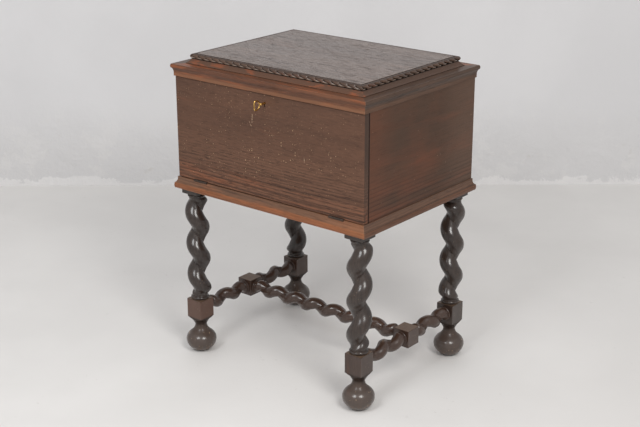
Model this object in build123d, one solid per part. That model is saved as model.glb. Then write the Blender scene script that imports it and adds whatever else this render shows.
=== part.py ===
"""Fall-front oak cabinet on a barley-twist stand.

Frame: +Z up, front towards -Y, origin on the floor under the middle of the
whole outline, key included. Millimetres.
"""
from build123d import *
from math import asin, ceil, cos, degrees, radians, sin
import os

os.makedirs("parts", exist_ok=True)

# ---------------------------------------------------------------- case sizes
case_width = 550.0             # across the outsides of the side panels
case_depth = 418.0             # flap face to the back of the case
board_thickness = 16.0         # flap and side panels
back_thickness = 12.0
bottom_thickness = 12.0
ceiling_thickness = 16.0
arris = 0.8                    # softened edge of the boards

# ------------------------------------------------------- heights of each tier
foot_height = 70.0             # floor to the joint at the neck
taper_height = 15.0            # turned cone under the block
corner_cut_height = 5.5        # flatter cone that trims the block's lower corners
block_height = 47.5
collar_height = 13.0
twist_length = 249.0
shoulder_height = 11.0
pad_height = 13.8
base_height = 27.5
opening_height = 244.0
cornice_height = 28.2
raised_height = 22.5

# ------------------------------------------------------------------ mouldings
base_overhang = 9.0
base_rail_width = 55.0
base_nose_height = 13.0
base_fillet_height = 4.0
base_fillet_reach = 2.5
base_rebate = 10.0             # ledge that carries the bottom board
cornice_overhang = 8.0
cornice_rail_width = 50.0
cornice_fillet_height = 8.5
cornice_fillet_reach = 2.5
cornice_nose_height = 9.0
cornice_rebate = 10.0          # ledge that carries the ceiling board
rope_inset = 33.0              # cornice edge to the rope's outer side
rope_radius = 5.5
rope_drop = 0.3                # rope sits this far under the top's face
rope_pitch = 20.8
rope_cut_depth = 2.8
rope_cut_width = 6.5
rope_slant = 38.0              # gouge cuts lean this far from upright
cavetto_flare = 7.0
cavetto_fillet = 1.2

# ----------------------------------------------------------------------- legs
leg_inset_side = 29.2          # leg axis in from the side panel's face
leg_inset_front = 26.0
leg_inset_back = 28.2
block_side = 45.5
pad_side = 48.5
neck_radius = 14.3
collar_radius = 22.0           # disc on the block, and the ring above it
collar_groove_radius = 19.3
shoulder_radius = 21.6         # swelling under the pad
twist_pitch = 80.3
twist_offset = 7.1             # strand's axis to the leg's axis
strand_across = 21.8           # strand's radius towards the leg's axis
strand_along = 23.4            # strand's radius round the leg's axis
twist_end_radius = 19.0
twist_runout = 15.0            # length in which the strand rises from its end
front_crest = 120.6            # crest's direction at the twist's top, right leg
back_crest = 252.6
leg_tenon_side = 22.0
leg_tenon_length = 18.0
leg_sides = 10                 # flats round the twist
leg_steps = 8                  # slices in each turn of the twist

# ----------------------------------------------------------------------- feet
ball_radius = 36.4
ball_centre = 30.5             # height of its widest ring
ball_rise = 25.5               # half-height of the full ball above that ring
ball_fall = 32.0               # half-height below it, cut off by the floor
ball_top = 47.0                # height where the neck's flare begins
neck_flare = 2.15              # power of the neck's hollow curve
spigot_radius = 8.0
spigot_length = 24.0
foot_sides = 16
ball_rows = 6
neck_rows = 4

# ----------------------------------------------------------------- stretchers
stretcher_block = 42.0
stretcher_pitch = 61.0
stretcher_offset = 4.8
stretcher_across = 14.6
stretcher_along = 15.8
stretcher_end_radius = 13.0
stretcher_runout = 8.0
stretcher_ring_radius = 17.5
stretcher_ring_width = 4.5
stretcher_neck_width = 2.5
side_crests = {"left": (272.0, 64.0), "right": (260.0, 79.0)}    # front, back half
centre_crest = 150.0
tenon_side = 11.0
tenon_length = 14.0
stretcher_sides = 8
stretcher_steps = 6

# ----------------------------------------------------------- flap and hinges
flap_gap = 1.2                 # above the flap, under the cornice
hinge_gap = 1.4                # under the flap, over the base
closing_gap = 1.6              # behind the flap
hinge_inset = 52.0             # case corner to the hinge's outer end
hinge_length = 41.0
leaf_width = 14.0
leaf_thickness = 1.4
knuckle_radius = 2.8
knuckle_sides = 12
knuckle_proud = 2.0            # hinge pin in front of the flap's face
knuckle_gap = 0.3
pin_radius = 1.2
flap_angle = 90.0

# ------------------------------------------------------------- lock and key
lock_width = 64.0
lock_depth = 9.0
lock_below_key = 25.2
lock_wall = 1.2
key_drop = 20.0                # key axis below the flap's top edge
key_reach = 36.0               # bow's tip in front of the flap
shank_radius = 2.6
bow_height = 24.5
bow_length = 20.5
bow_thickness = 3.2
bow_sides = 20
bit_reach = 9.0
bit_length = 4.6
bit_thickness = 1.8
drill_pin_radius = 1.2
bolt_width = 36.0
bolt_thickness = 3.6
bolt_throw = 8.0
bolt_limb = 5.0
strike_thickness = 1.2
strike_margin = 9.0            # plate past the bolt at each end

# ---------------------------------------------------------------- flap stays
stay_circle = 150.0            # both pivots lie this far from the hinge pin
stay_case_angle = 22.0         # case pivot, back from upright
stay_lug_out = 8.0             # flap pivot in from the flap's inner face
stay_side_gap = 9.0            # rod's axis to the side panel
stay_rod_side = 5.0            # square rod
stay_eye_side = 8.0
stay_eye_thickness = 5.0
swivel_side = 12.0
swivel_thickness = 9.0
stay_pin_radius = 2.0
burr_side = 5.6                # riveted end of a stay's pin
burr_thickness = 1.0
rod_slide_fit = 0.25
stay_stop_side = 9.0
stay_stop_length = 6.0
plate_thickness = 2.0
plate_height = 30.0
plate_width = 14.0

# --------------------------------------------------------------- small fits
fit = 0.1                      # fixed joints, all round
running_fit = 0.05             # pins that turn
sliding_fit = 0.3              # parts that slide past each other
nail_side = 3.2
nail_length = 12.0
nail_taper = 4.5               # degrees on each flank

# -------------------------------------------------------------- derived levels
block_bottom = foot_height + taper_height + corner_cut_height
block_top = block_bottom + block_height
twist_bottom = block_top + collar_height
twist_top = twist_bottom + twist_length
pad_bottom = twist_top + shoulder_height
base_bottom = pad_bottom + pad_height
base_top = base_bottom + base_height
cornice_bottom = base_top + opening_height
cornice_top = cornice_bottom + cornice_height
top_face = cornice_top + raised_height

half_width = case_width / 2
back_overhang = max(base_overhang, cornice_overhang)
outline_depth = key_reach + case_depth + back_overhang
front_y = key_reach - outline_depth / 2
back_y = front_y + case_depth
case_centre_y = (front_y + back_y) / 2
flap_back_y = front_y + board_thickness
panel_front_y = flap_back_y + closing_gap
inner_half_width = half_width - board_thickness

leg_x = half_width - leg_inset_side
leg_front_y = front_y + leg_inset_front
leg_back_y = back_y - leg_inset_back
leg_middle_y = (leg_front_y + leg_back_y) / 2
stretcher_z = (block_bottom + block_top) / 2

CENTRED = (Align.CENTER, Align.CENTER, Align.MIN)


# ------------------------------------------------------------- shared shapes
def slab(x0, x1, y0, y1, z0, z1):
    """A board between two opposite corners."""
    middle = Pos((x0 + x1) / 2, (y0 + y1) / 2, (z0 + z1) / 2)
    return middle * Box(x1 - x0, y1 - y0, z1 - z0)


def round_bar(start, end, radius):
    """A cylinder from one point to another."""
    start = Vector(*start)
    run = Vector(*end) - start
    return Plane(origin=start, z_dir=run) * Cylinder(radius, run.length, align=CENTRED)


def nail(at, into, grow=0.0):
    """A square tapered nail, driven flush at a point."""
    side = nail_side + 2 * grow
    shank = extrude(Rectangle(side, side), nail_length + grow, taper=nail_taper)
    return Plane(origin=at, z_dir=into) * shank


def nails(places):
    """Every nail of one set as separate solids."""
    return Compound(children=[nail(at, into).solid() for at, into in places])


def oval(height, offset, across, along, azimuth, sides):
    """Corners of a slice: an oval of flats, off centre towards azimuth."""
    towards = Vector(cos(radians(azimuth)), sin(radians(azimuth)), 0)
    beside = Vector(-towards.Y, towards.X, 0)
    corners = []
    for k in range(sides):
        angle = radians(360.0 * k / sides - azimuth)
        reach = towards * (offset + across * cos(angle))
        corners.append(reach + beside * (along * sin(angle)) + Vector(0, 0, height))
    return corners


def rounds(profile, sides):
    """Round slices of a turning, from (radius, height) pairs."""
    return [oval(height, 0, radius, radius, 0, sides) for radius, height in profile]


def facet(*corners):
    """A flat face between corners."""
    return Face(Wire.make_polygon(corners, close=True))


def skin(slices):
    """A solid cut in flat facets through slices with equal numbers of corners."""
    faces = [facet(*slices[0]), facet(*slices[-1])]
    for low, high in zip(slices, slices[1:]):
        for k in range(len(low)):
            faces.append(facet(low[k - 1], low[k], high[k]))
            faces.append(facet(low[k - 1], high[k], high[k - 1]))
    return Solid(Shell(faces))


def keep(name, shape):
    """Write one node."""
    shape.label = name
    export_step(shape, f"parts/{name}.step")


def strand(bottom, length, pitch, hand, azimuth, offset, across, along, neck, runout, sides, steps):
    """Slices of a barley twist from bottom upward, its crest at azimuth on top.

    An off-centre oval is turned as it rises. Over the run-out at either end it
    swells from a plain round neck on the axis to its full size and offset.
    """
    count = ceil(steps * length / pitch)
    slices = []
    for i in range(count + 1):
        z = length * i / count
        rise = min(z, length - z, runout) / runout
        swell = sin(radians(90 * rise))
        swollen = oval(
            bottom + z,
            offset * swell,
            neck + (across - neck) * swell,
            neck + (along - neck) * swell,
            azimuth - hand * 360.0 * (length - z) / pitch,
            sides,
        )
        slices.append(swollen)
    return slices


# ------------------------------------------------------------------------ feet
def foot():
    """Flattened ball foot with a flared neck and a spigot into the leg."""
    low = -asin(ball_centre / ball_fall)
    high = asin((ball_top - ball_centre) / ball_rise)
    profile = []
    for row in range(ball_rows + 1):
        angle = low + (high - low) * row / ball_rows
        half_height = ball_rise if angle > 0 else ball_fall
        profile.append((ball_radius * cos(angle), ball_centre + half_height * sin(angle)))
    flare = ball_radius * cos(high) - neck_radius
    for row in range(1, neck_rows + 1):
        share = row / neck_rows
        height = ball_top + share * (foot_height - ball_top)
        profile.append((neck_radius + flare * (1 - share) ** neck_flare, height))
    spigot = extrude(RegularPolygon(spigot_radius, leg_sides), spigot_length)
    return skin(rounds(profile, foot_sides)) + Pos(0, 0, foot_height) * spigot


# ------------------------------------------------------------------------ legs
def leg(hand, azimuth, inward):
    """One leg on the Z axis: tenon, pad, shoulder, twist, collar, block, cone."""
    half_block = block_side / 2
    half_pad = pad_side / 2
    past_corners = 1.1 * 2 ** 0.5 * half_block
    cone = [
        (neck_radius, foot_height),
        (half_block, foot_height + taper_height),
        (past_corners, block_bottom),
        (past_corners, block_top),
    ]
    blank = slab(-half_block, half_block, -half_block, half_block, foot_height, block_top)
    block = blank & skin(rounds(cone, foot_sides))

    collar = [
        (collar_radius, block_top),
        (collar_radius, block_top + 0.1 * collar_height),
        (collar_groove_radius, block_top + 0.2 * collar_height),
        (collar_radius, block_top + 0.38 * collar_height),
        (collar_groove_radius, block_top + 0.58 * collar_height),
    ]
    twist = strand(
        twist_bottom, twist_length, twist_pitch, hand, azimuth, twist_offset,
        strand_across, strand_along, twist_end_radius, twist_runout, leg_sides, leg_steps,
    )
    shoulder = [
        ((twist_end_radius + shoulder_radius) / 2, twist_top + 0.3 * shoulder_height),
        (shoulder_radius, pad_bottom),
    ]
    slices = rounds(collar, leg_sides) + twist + rounds(shoulder, leg_sides)
    pad = slab(-half_pad, half_pad, -half_pad, half_pad, pad_bottom, base_bottom)
    tenon = leg_tenon(0, 0, 0)
    body = block + skin(slices) + pad + tenon

    socket = extrude(RegularPolygon(spigot_radius + fit, leg_sides), spigot_length + fit)
    mouth = inward * half_block
    bottom = inward * (half_block - tenon_length - fit)
    half_hole = tenon_side / 2 + fit
    mortise = slab(
        -half_hole, half_hole, *sorted((bottom, mouth)),
        stretcher_z - half_hole, stretcher_z + half_hole,
    )
    return body - Pos(0, 0, foot_height) * socket - mortise


def leg_tenon(x, y, grow):
    """Square tenon over a leg, or with grow its mortise in the base frame."""
    half = leg_tenon_side / 2 + grow
    top = base_bottom + leg_tenon_length + grow
    return slab(x - half, x + half, y - half, y + half, base_bottom, top)


corners = {
    "front_left": (-leg_x, leg_front_y, -1, 1, 180.0 - front_crest),
    "front_right": (leg_x, leg_front_y, 1, 1, front_crest),
    "back_left": (-leg_x, leg_back_y, 1, -1, 180.0 - back_crest),
    "back_right": (leg_x, leg_back_y, -1, -1, back_crest),
}
for corner_name, (x, y, hand, inward, azimuth) in corners.items():
    keep(f"leg_{corner_name}", Pos(x, y, 0) * leg(hand, azimuth, inward))
    keep(f"foot_{corner_name}", Pos(x, y, 0) * foot())


# ------------------------------------------------------------------ stretchers
def twisted_bar(length, hand, azimuth):
    """A stretcher's twist on the Z axis between a turned ring at each end."""
    neck = stretcher_end_radius
    end = stretcher_ring_width + stretcher_neck_width
    ring = [
        (neck, 0),
        (stretcher_ring_radius, 0.35 * stretcher_ring_width),
        (stretcher_ring_radius, 0.65 * stretcher_ring_width),
        (neck, stretcher_ring_width),
    ]
    far_ring = [(radius, length - z) for radius, z in reversed(ring)]
    twist = strand(
        end, length - 2 * end, stretcher_pitch, hand, azimuth, stretcher_offset,
        stretcher_across, stretcher_along, neck, stretcher_runout,
        stretcher_sides, stretcher_steps,
    )
    slices = rounds(ring, stretcher_sides) + twist + rounds(far_ring, stretcher_sides)
    return skin(slices)


half_side_block = stretcher_block / 2
side_front_y = leg_front_y + block_side / 2
side_back_y = leg_back_y - block_side / 2
side_half = leg_middle_y - half_side_block - side_front_y
along_y = Rot(-90, 0, 0)
against_y = Rot(90, 0, 0)
for side_name, side in (("left", -1), ("right", 1)):
    x = side * leg_x
    front_bar_crest, back_bar_crest = side_crests[side_name]
    front_bar = along_y * twisted_bar(side_half, -side, front_bar_crest)
    back_bar = against_y * twisted_bar(side_half, side, back_bar_crest)
    middle_block = chamfer(
        slab(
            x - half_side_block, x + half_side_block,
            leg_middle_y - half_side_block, leg_middle_y + half_side_block,
            stretcher_z - half_side_block, stretcher_z + half_side_block,
        ).edges(),
        arris,
    )
    half = tenon_side / 2
    front_tenon = slab(
        x - half, x + half, side_front_y - tenon_length, side_front_y,
        stretcher_z - half, stretcher_z + half,
    )
    back_tenon = slab(
        x - half, x + half, side_back_y, side_back_y + tenon_length,
        stretcher_z - half, stretcher_z + half,
    )
    bar = front_tenon + middle_block + back_tenon
    bar += Pos(x, side_front_y, stretcher_z) * front_bar
    bar += Pos(x, side_back_y, stretcher_z) * back_bar
    mouth = x - side * half_side_block
    bottom = mouth + side * (tenon_length + fit)
    half += fit
    socket = slab(
        *sorted((mouth, bottom)), leg_middle_y - half, leg_middle_y + half,
        stretcher_z - half, stretcher_z + half,
    )
    keep(f"side_stretcher_{side_name}", bar - socket)

centre_half = leg_x - half_side_block
centre_bar = Pos(-centre_half, leg_middle_y, stretcher_z) * Rot(0, 90, 0)
centre_stretcher = centre_bar * twisted_bar(2 * centre_half, -1, centre_crest)
half = tenon_side / 2
for side in (-1, 1):
    centre_stretcher += slab(
        *sorted((side * centre_half, side * (centre_half + tenon_length))),
        leg_middle_y - half, leg_middle_y + half,
        stretcher_z - half, stretcher_z + half,
    )
keep("centre_stretcher", centre_stretcher)


# ------------------------------------------------------- mitred moulding frames
def mitred(outline, reach, half_length, inner, outer):
    """One side of a frame, in the front's position about the Z axis.

    The outline gives (distance outward from the panel's face, height). reach
    is the centre-to-face distance, and the ends are cut at 45 degrees.
    """
    run = 2 * (half_length + outer)
    section = Plane(origin=(run / 2, -reach, 0), x_dir=(0, -1, 0), z_dir=(-1, 0, 0))
    length = extrude(section * make_face(outline), run)
    plan = make_face(
        Polyline(
            (-half_length - outer, -reach - outer),
            (half_length + outer, -reach - outer),
            (half_length + inner, -reach - inner),
            (-half_length - inner, -reach - inner),
            close=True,
        )
    )
    return length & extrude(plan, top_face + 1)


def frame_sides(outline, inner, outer):
    """The four mitred sides of a frame round the case, by name."""
    sides = {}
    for name, turn in (("front", 0), ("right", 90), ("back", 180), ("left", 270)):
        reach, half_length = case_depth / 2, half_width
        if name in ("left", "right"):
            reach, half_length = half_length, reach
        piece = mitred(outline, reach, half_length, inner, outer)
        sides[name] = Pos(0, case_centre_y, 0) * Rot(0, 0, turn) * piece
    return sides


base_inner = -base_rail_width
base_seat = base_top - bottom_thickness
nose_top = base_bottom + base_nose_height
flare_top = base_top - base_fillet_height
base_outline = (
    Line((base_inner, base_bottom), (base_overhang - 1, base_bottom))
    + ThreePointArc(
        (base_overhang - 1, base_bottom),
        (base_overhang, (base_bottom + nose_top) / 2),
        (base_overhang - 1, nose_top),
    )
    + Line((base_overhang - 1, nose_top), (base_overhang - 2, nose_top))
    + ThreePointArc(
        (base_overhang - 2, nose_top),
        (base_fillet_reach + 1.2, nose_top + 0.42 * (flare_top - nose_top)),
        (base_fillet_reach, flare_top),
    )
    + Polyline(
        (base_fillet_reach, flare_top),
        (base_fillet_reach, base_top),
        (base_inner + base_rebate, base_top),
        (base_inner + base_rebate, base_seat),
        (base_inner, base_seat),
        (base_inner, base_bottom),
    )
)
base_rails = frame_sides(base_outline, base_inner, base_overhang)

cornice_inner = -cornice_rail_width
ceiling_z = cornice_top - ceiling_thickness
fillet_top = cornice_bottom + cornice_fillet_height
nose_bottom = cornice_top - cornice_nose_height
cornice_outline = (
    Polyline(
        (cornice_inner, cornice_bottom),
        (cornice_fillet_reach, cornice_bottom),
        (cornice_fillet_reach, fillet_top),
    )
    + ThreePointArc(
        (cornice_fillet_reach, fillet_top),
        (cornice_fillet_reach + 1.3, (fillet_top + nose_bottom) / 2 + 1.2),
        (cornice_overhang - 1.6, nose_bottom),
    )
    + Line((cornice_overhang - 1.6, nose_bottom), (cornice_overhang - 0.8, nose_bottom))
    + ThreePointArc(
        (cornice_overhang - 0.8, nose_bottom),
        (cornice_overhang, nose_bottom + 0.45 * cornice_nose_height),
        (cornice_overhang - 1.6, cornice_top),
    )
    + Polyline(
        (cornice_overhang - 1.6, cornice_top),
        (cornice_inner + cornice_rebate, cornice_top),
        (cornice_inner + cornice_rebate, ceiling_z),
        (cornice_inner, ceiling_z),
        (cornice_inner, cornice_bottom),
    )
)
cornice_rails = frame_sides(cornice_outline, cornice_inner, cornice_overhang)

# Cavetto and rope bead in one strip round the raised top, the bead in three flats
rope_outer = cornice_overhang - rope_inset
rope_middle = rope_outer - rope_radius
strip_inner = rope_middle - rope_radius
strip_foot = rope_outer + cavetto_flare
rope_z = top_face - rope_drop - rope_radius
bead = []
for angle in (-60, -10, 40, 90):
    bead.append((
        rope_middle + rope_radius * cos(radians(angle)),
        rope_z + rope_radius * sin(radians(angle)),
    ))
bead_low_d, bead_low_z = bead[0]
strip_outline = (
    Polyline((strip_inner, cornice_top), (strip_foot, cornice_top))
    + Line((strip_foot, cornice_top), (strip_foot, cornice_top + cavetto_fillet))
    + ThreePointArc(
        (strip_foot, cornice_top + cavetto_fillet),
        (bead_low_d + 3.0, (cornice_top + bead_low_z) / 2 - 1.2),
        (bead_low_d, bead_low_z),
    )
    + Polyline(*bead)
    + Polyline(
        bead[-1],
        (strip_inner, rope_z + rope_radius),
        (strip_inner, cornice_top),
    )
)


def gouge_cuts(reach, half_length):
    """Slanting V cuts that turn the front strip's bead into a rope."""
    length = 2 * (half_length + rope_outer)
    count = round(length / rope_pitch)
    half_width_of_cut = rope_cut_width / 2
    wedge = make_face(
        Polyline(
            (0, rope_radius - rope_cut_depth),
            (half_width_of_cut, rope_radius + 1),
            (-half_width_of_cut, rope_radius + 1),
            close=True,
        )
    )
    cut = extrude(Plane.XZ * wedge, 2 * rope_radius, both=True)
    cut = Rot(45, 0, 0) * Rot(0, 0, rope_slant) * cut
    row = GridLocations(length / count, 1, count - 1, 1)
    return [Pos(0, -reach - rope_middle, rope_z) * place * cut for place in row]


rope_strips = {}
for side_name, turn in (("front", 0), ("right", 90), ("back", 180), ("left", 270)):
    reach, half_length = case_depth / 2, half_width
    if side_name in ("left", "right"):
        reach, half_length = half_length, reach
    strip = mitred(strip_outline, reach, half_length, strip_inner, strip_foot)
    strip = strip.cut(*gouge_cuts(reach, half_length))
    keep(f"rope_moulding_{side_name}", Pos(0, case_centre_y, 0) * Rot(0, 0, turn) * strip)

# ------------------------------------------------------------- hinge geometry
axis_y = front_y - knuckle_proud
axis_z = base_top + hinge_gap / 2
flap_bottom = base_top + hinge_gap
flap_top = cornice_bottom - flap_gap
hinge_xs = {
    "left": -half_width + hinge_inset + hinge_length / 2,
    "right": half_width - hinge_inset - hinge_length / 2,
}
leaf_back_y = axis_y + leaf_width
leaf_nail_y = front_y + 0.55 * leaf_width
case_leaf_z = base_top - leaf_thickness
flap_leaf_z = flap_bottom + leaf_thickness
down, up, back, ahead = (0, 0, -1), (0, 0, 1), (0, 1, 0), (0, -1, 0)

case_hinge_nails = []
flap_hinge_nails = []
for x in hinge_xs.values():
    for offset in (-0.3 * hinge_length, 0.3 * hinge_length):
        case_hinge_nails.append(((x + offset, leaf_nail_y, base_top), down))
        flap_hinge_nails.append(((x + offset, leaf_nail_y, flap_bottom), up))


def knuckle_room(x0, x1):
    """Space that a length of knuckle needs round it."""
    reach = knuckle_radius + sliding_fit
    return slab(x0, x1, axis_y - reach, axis_y + reach, axis_z - reach, axis_z + reach)


def knuckle(x0, x1):
    """One knuckle of a hinge, filed in flats."""
    section = Plane(origin=(x0, axis_y, axis_z), z_dir=(1, 0, 0))
    return extrude(section * RegularPolygon(knuckle_radius, knuckle_sides), x1 - x0)


for side_name, x in hinge_xs.items():
    half = hinge_length / 2
    third = hinge_length / 3
    case_leaf = slab(x - half, x + half, axis_y, leaf_back_y, case_leaf_z, base_top)
    flap_leaf = slab(x - half, x + half, axis_y, leaf_back_y, flap_bottom, flap_leaf_z)
    outer = knuckle(x - half, x - third / 2)
    far = knuckle(x + third / 2, x + half)
    inner = knuckle(x - third / 2 + knuckle_gap, x + third / 2 - knuckle_gap)
    middle_room = knuckle_room(x - third / 2, x + third / 2)
    outer_room = knuckle_room(x - half - fit, x - third / 2 + knuckle_gap)
    far_room = knuckle_room(x + third / 2 - knuckle_gap, x + half + fit)
    pin = round_bar((x - half, axis_y, axis_z), (x + half, axis_y, axis_z), pin_radius)
    bore = round_bar(
        (x - half, axis_y, axis_z), (x + half, axis_y, axis_z), pin_radius + running_fit
    )
    case_leaf = (case_leaf - middle_room) + outer + far + pin
    flap_leaf = flap_leaf - outer_room - far_room + inner - bore
    for at, into in case_hinge_nails:
        case_leaf -= nail(at, into, fit)
    for at, into in flap_hinge_nails:
        flap_leaf -= nail(at, into, fit)
    keep(f"hinge_case_leaf_{side_name}", case_leaf)
    keep(f"hinge_flap_leaf_{side_name}", flap_leaf)
    half += fit
    base_rails["front"] -= slab(
        x - half, x + half, axis_y - knuckle_radius, leaf_back_y + fit, case_leaf_z, base_top + 1
    )
    base_rails["front"] -= knuckle_room(x - half, x + half)

keep("hinge_case_nails", nails(case_hinge_nails))
keep("hinge_flap_nails", nails(flap_hinge_nails))
for at, into in case_hinge_nails:
    base_rails["front"] -= nail(at, into, fit)

# ------------------------------------------------------------------- base frame
for x, y, _, _, _ in corners.values():
    socket = leg_tenon(x, y, fit)
    for side_name in ("front" if y < leg_middle_y else "back", "left" if x < 0 else "right"):
        base_rails[side_name] -= socket
for side_name, rail in base_rails.items():
    keep(f"base_rail_{side_name}", rail)

board_half_x = half_width + base_inner + base_rebate - fit
board_half_y = case_depth / 2 + base_inner + base_rebate - fit
bottom_board = slab(
    -board_half_x, board_half_x,
    case_centre_y - board_half_y, case_centre_y + board_half_y,
    base_seat, base_top,
)
keep("bottom_board", bottom_board)

# -------------------------------------------------------------- stay positions
rise_angle = degrees(asin((knuckle_proud + board_thickness + stay_lug_out) / stay_circle))
stay_flap_y = axis_y + stay_circle * sin(radians(rise_angle))
stay_flap_z = axis_z + stay_circle * cos(radians(rise_angle))
stay_case_y = axis_y + stay_circle * sin(radians(stay_case_angle))
stay_case_z = axis_z + stay_circle * cos(radians(stay_case_angle))
open_chord = 2 * stay_circle * sin(radians((stay_case_angle - rise_angle + flap_angle) / 2))
stay_rod_length = open_chord + swivel_side / 2 + sliding_fit
nail_spread = plate_height / 2 - 1.2 * nail_side
stay_flap_nails = []
stay_case_nails = []
for side in (-1, 1):
    for offset in (-nail_spread, nail_spread):
        flap_plate_y = flap_back_y + plate_thickness
        at = (side * (inner_half_width - stay_side_gap), flap_plate_y, stay_flap_z + offset)
        stay_flap_nails.append((at, ahead))
        at = (side * (inner_half_width - plate_thickness), stay_case_y, stay_case_z + offset)
        stay_case_nails.append((at, (side, 0, 0)))

# ------------------------------------------------------------------ case boards
for side_name, side in (("left", -1), ("right", 1)):
    inner_x, outer_x = sorted((side * inner_half_width, side * half_width))
    panel = slab(inner_x, outer_x, panel_front_y, back_y, base_top, cornice_bottom)
    panel = chamfer(panel.edges().filter_by(Axis.Z).group_by(Axis.Y)[0], arris)
    for at, into in stay_case_nails:
        panel -= nail(at, into, fit)
    recess = burr_side * 0.75 + sliding_fit
    panel -= slab(
        *sorted((side * inner_half_width, side * (inner_half_width + burr_thickness + 0.6))),
        stay_case_y - recess, stay_case_y + recess,
        stay_case_z - recess, stay_case_z + recess,
    )
    keep(f"side_panel_{side_name}", panel)

back_panel = slab(
    -inner_half_width, inner_half_width, back_y - back_thickness, back_y, base_top, cornice_bottom
)
keep("back_panel", back_panel)

ceiling_half_x = half_width + cornice_inner + cornice_rebate - fit
ceiling_half_y = case_depth / 2 + cornice_inner + cornice_rebate - fit
ceiling_board = slab(
    -ceiling_half_x, ceiling_half_x,
    case_centre_y - ceiling_half_y, case_centre_y + ceiling_half_y,
    ceiling_z, cornice_top,
)
keep("ceiling_board", ceiling_board)

top_half_x = half_width + strip_inner
top_half_y = case_depth / 2 + strip_inner
top_panel = slab(
    -top_half_x, top_half_x,
    case_centre_y - top_half_y, case_centre_y + top_half_y,
    cornice_top, top_face,
)
keep("top_panel", chamfer(top_panel.edges().group_by(Axis.Z)[-1], rope_drop))

# ------------------------------------------------------------------------- lock
key_z = flap_top - key_drop
lock_y = flap_back_y - lock_depth
lock_half = lock_width / 2
lock_bottom = key_z - lock_below_key
bolt_y = lock_y + lock_wall + sliding_fit
bolt_half = bolt_width / 2
bolt_top = flap_top - sliding_fit
window_half = bit_reach + 1.0
window_top = key_z + bit_reach + 0.6
window_bottom = key_z - bit_reach - bolt_throw - 1.0
bolt_bottom = window_bottom - bolt_limb

bolt = slab(-bolt_half, bolt_half, bolt_y, bolt_y + bolt_thickness, bolt_bottom, bolt_top)
bolt -= slab(
    -window_half, window_half, bolt_y - 1, bolt_y + bolt_thickness + 1, window_bottom, window_top
)
keep("lock_bolt", bolt)

keyhole = round_bar(
    (0, front_y - 1, key_z), (0, lock_y + 2 * lock_wall, key_z), shank_radius + sliding_fit
)
keyhole += slab(
    -bit_thickness / 2 - sliding_fit, bit_thickness / 2 + sliding_fit,
    front_y - 1, lock_y + 2 * lock_wall, key_z - bit_reach - sliding_fit, key_z,
)
lock_blank = slab(-lock_half, lock_half, lock_y, flap_back_y, lock_bottom, flap_top)
lock_hollow = slab(
    -lock_half + lock_wall, lock_half - lock_wall,
    lock_y + lock_wall, flap_back_y + 1,
    lock_bottom + lock_wall, flap_top - lock_wall,
)
bolt_way = slab(
    -bolt_half - sliding_fit, bolt_half + sliding_fit,
    bolt_y - sliding_fit, bolt_y + bolt_thickness + sliding_fit,
    key_z, flap_top + 1,
)
lock_case = lock_blank - lock_hollow - bolt_way - keyhole

cover_y = flap_back_y - lock_wall
lock_cover = slab(
    -lock_half + lock_wall + fit, lock_half - lock_wall - fit,
    cover_y, flap_back_y,
    lock_bottom + lock_wall + fit, flap_top - lock_wall - fit,
)
pin_tip_y = lock_y + lock_wall
lock_cover += round_bar((0, pin_tip_y, key_z), (0, cover_y, key_z), drill_pin_radius)
lock_nail_x = lock_half - lock_wall - 1.5 * nail_side
lock_nail_places = []
for x in (-lock_nail_x, lock_nail_x):
    lock_nail_places.append(((x, flap_back_y, key_z), ahead))
for at, into in lock_nail_places:
    lock_case -= nail(at, into, fit)
    lock_cover -= nail(at, into, fit)
keep("lock_case", lock_case)
keep("lock_cover", lock_cover)
keep("lock_nails", nails(lock_nail_places))

bow_y = front_y - key_reach + bow_length / 2
shank_end_y = cover_y - sliding_fit
bow_outer = facet(*oval(0, 0, bow_length / 2, bow_height / 2, 0, bow_sides))
eye_length = bow_length / 2 - bow_thickness
eye_height = bow_height / 2 - bow_thickness
bow_eye = facet(*oval(0, 0, eye_length, eye_height, 0, bow_sides))
bow_plane = Plane(origin=(0, bow_y, key_z), x_dir=back, z_dir=(1, 0, 0))
key = extrude(bow_plane * (bow_outer - bow_eye), bow_thickness / 2, both=True)
key += round_bar(
    (0, bow_y + bow_length / 2 - bow_thickness / 2, key_z), (0, shank_end_y, key_z), shank_radius
)
bit_y = bolt_y + (bolt_thickness - bit_length) / 2
key += slab(
    -bit_thickness / 2, bit_thickness / 2, bit_y + 0.4, bit_y + bit_length, key_z - bit_reach, key_z
)
key -= round_bar(
    (0, pin_tip_y - sliding_fit, key_z), (0, shank_end_y + 1, key_z), drill_pin_radius + running_fit
)
keep("key", key)

# Strike plate let into the underside of the cornice, with the bolt's mortise
strike_half = bolt_half + strike_margin
strike_y0 = bolt_y - strike_margin / 2
strike_y1 = bolt_y + bolt_thickness + strike_margin / 2
strike_top = cornice_bottom + strike_thickness
slot_half = bolt_half + 2 * sliding_fit
slot = slab(
    -slot_half, slot_half,
    bolt_y - 2 * sliding_fit, bolt_y + bolt_thickness + 2 * sliding_fit,
    cornice_bottom - 1, cornice_bottom + bolt_throw,
)
strike_nail_x = (strike_half + slot_half) / 2
strike_nails = []
for x in (-strike_nail_x, strike_nail_x):
    strike_nails.append(((x, bolt_y + bolt_thickness / 2, cornice_bottom), up))
strike = slab(-strike_half, strike_half, strike_y0, strike_y1, cornice_bottom, strike_top) - slot
cornice_rails["front"] -= slab(
    -strike_half - fit, strike_half + fit, strike_y0 - fit, strike_y1 + fit,
    cornice_bottom - 1, strike_top,
)
cornice_rails["front"] -= slot
for at, into in strike_nails:
    strike -= nail(at, into, fit)
    cornice_rails["front"] -= nail(at, into, fit)
keep("strike_plate", strike)
keep("strike_nails", nails(strike_nails))
for side_name, rail in cornice_rails.items():
    keep(f"cornice_{side_name}", rail)

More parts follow.
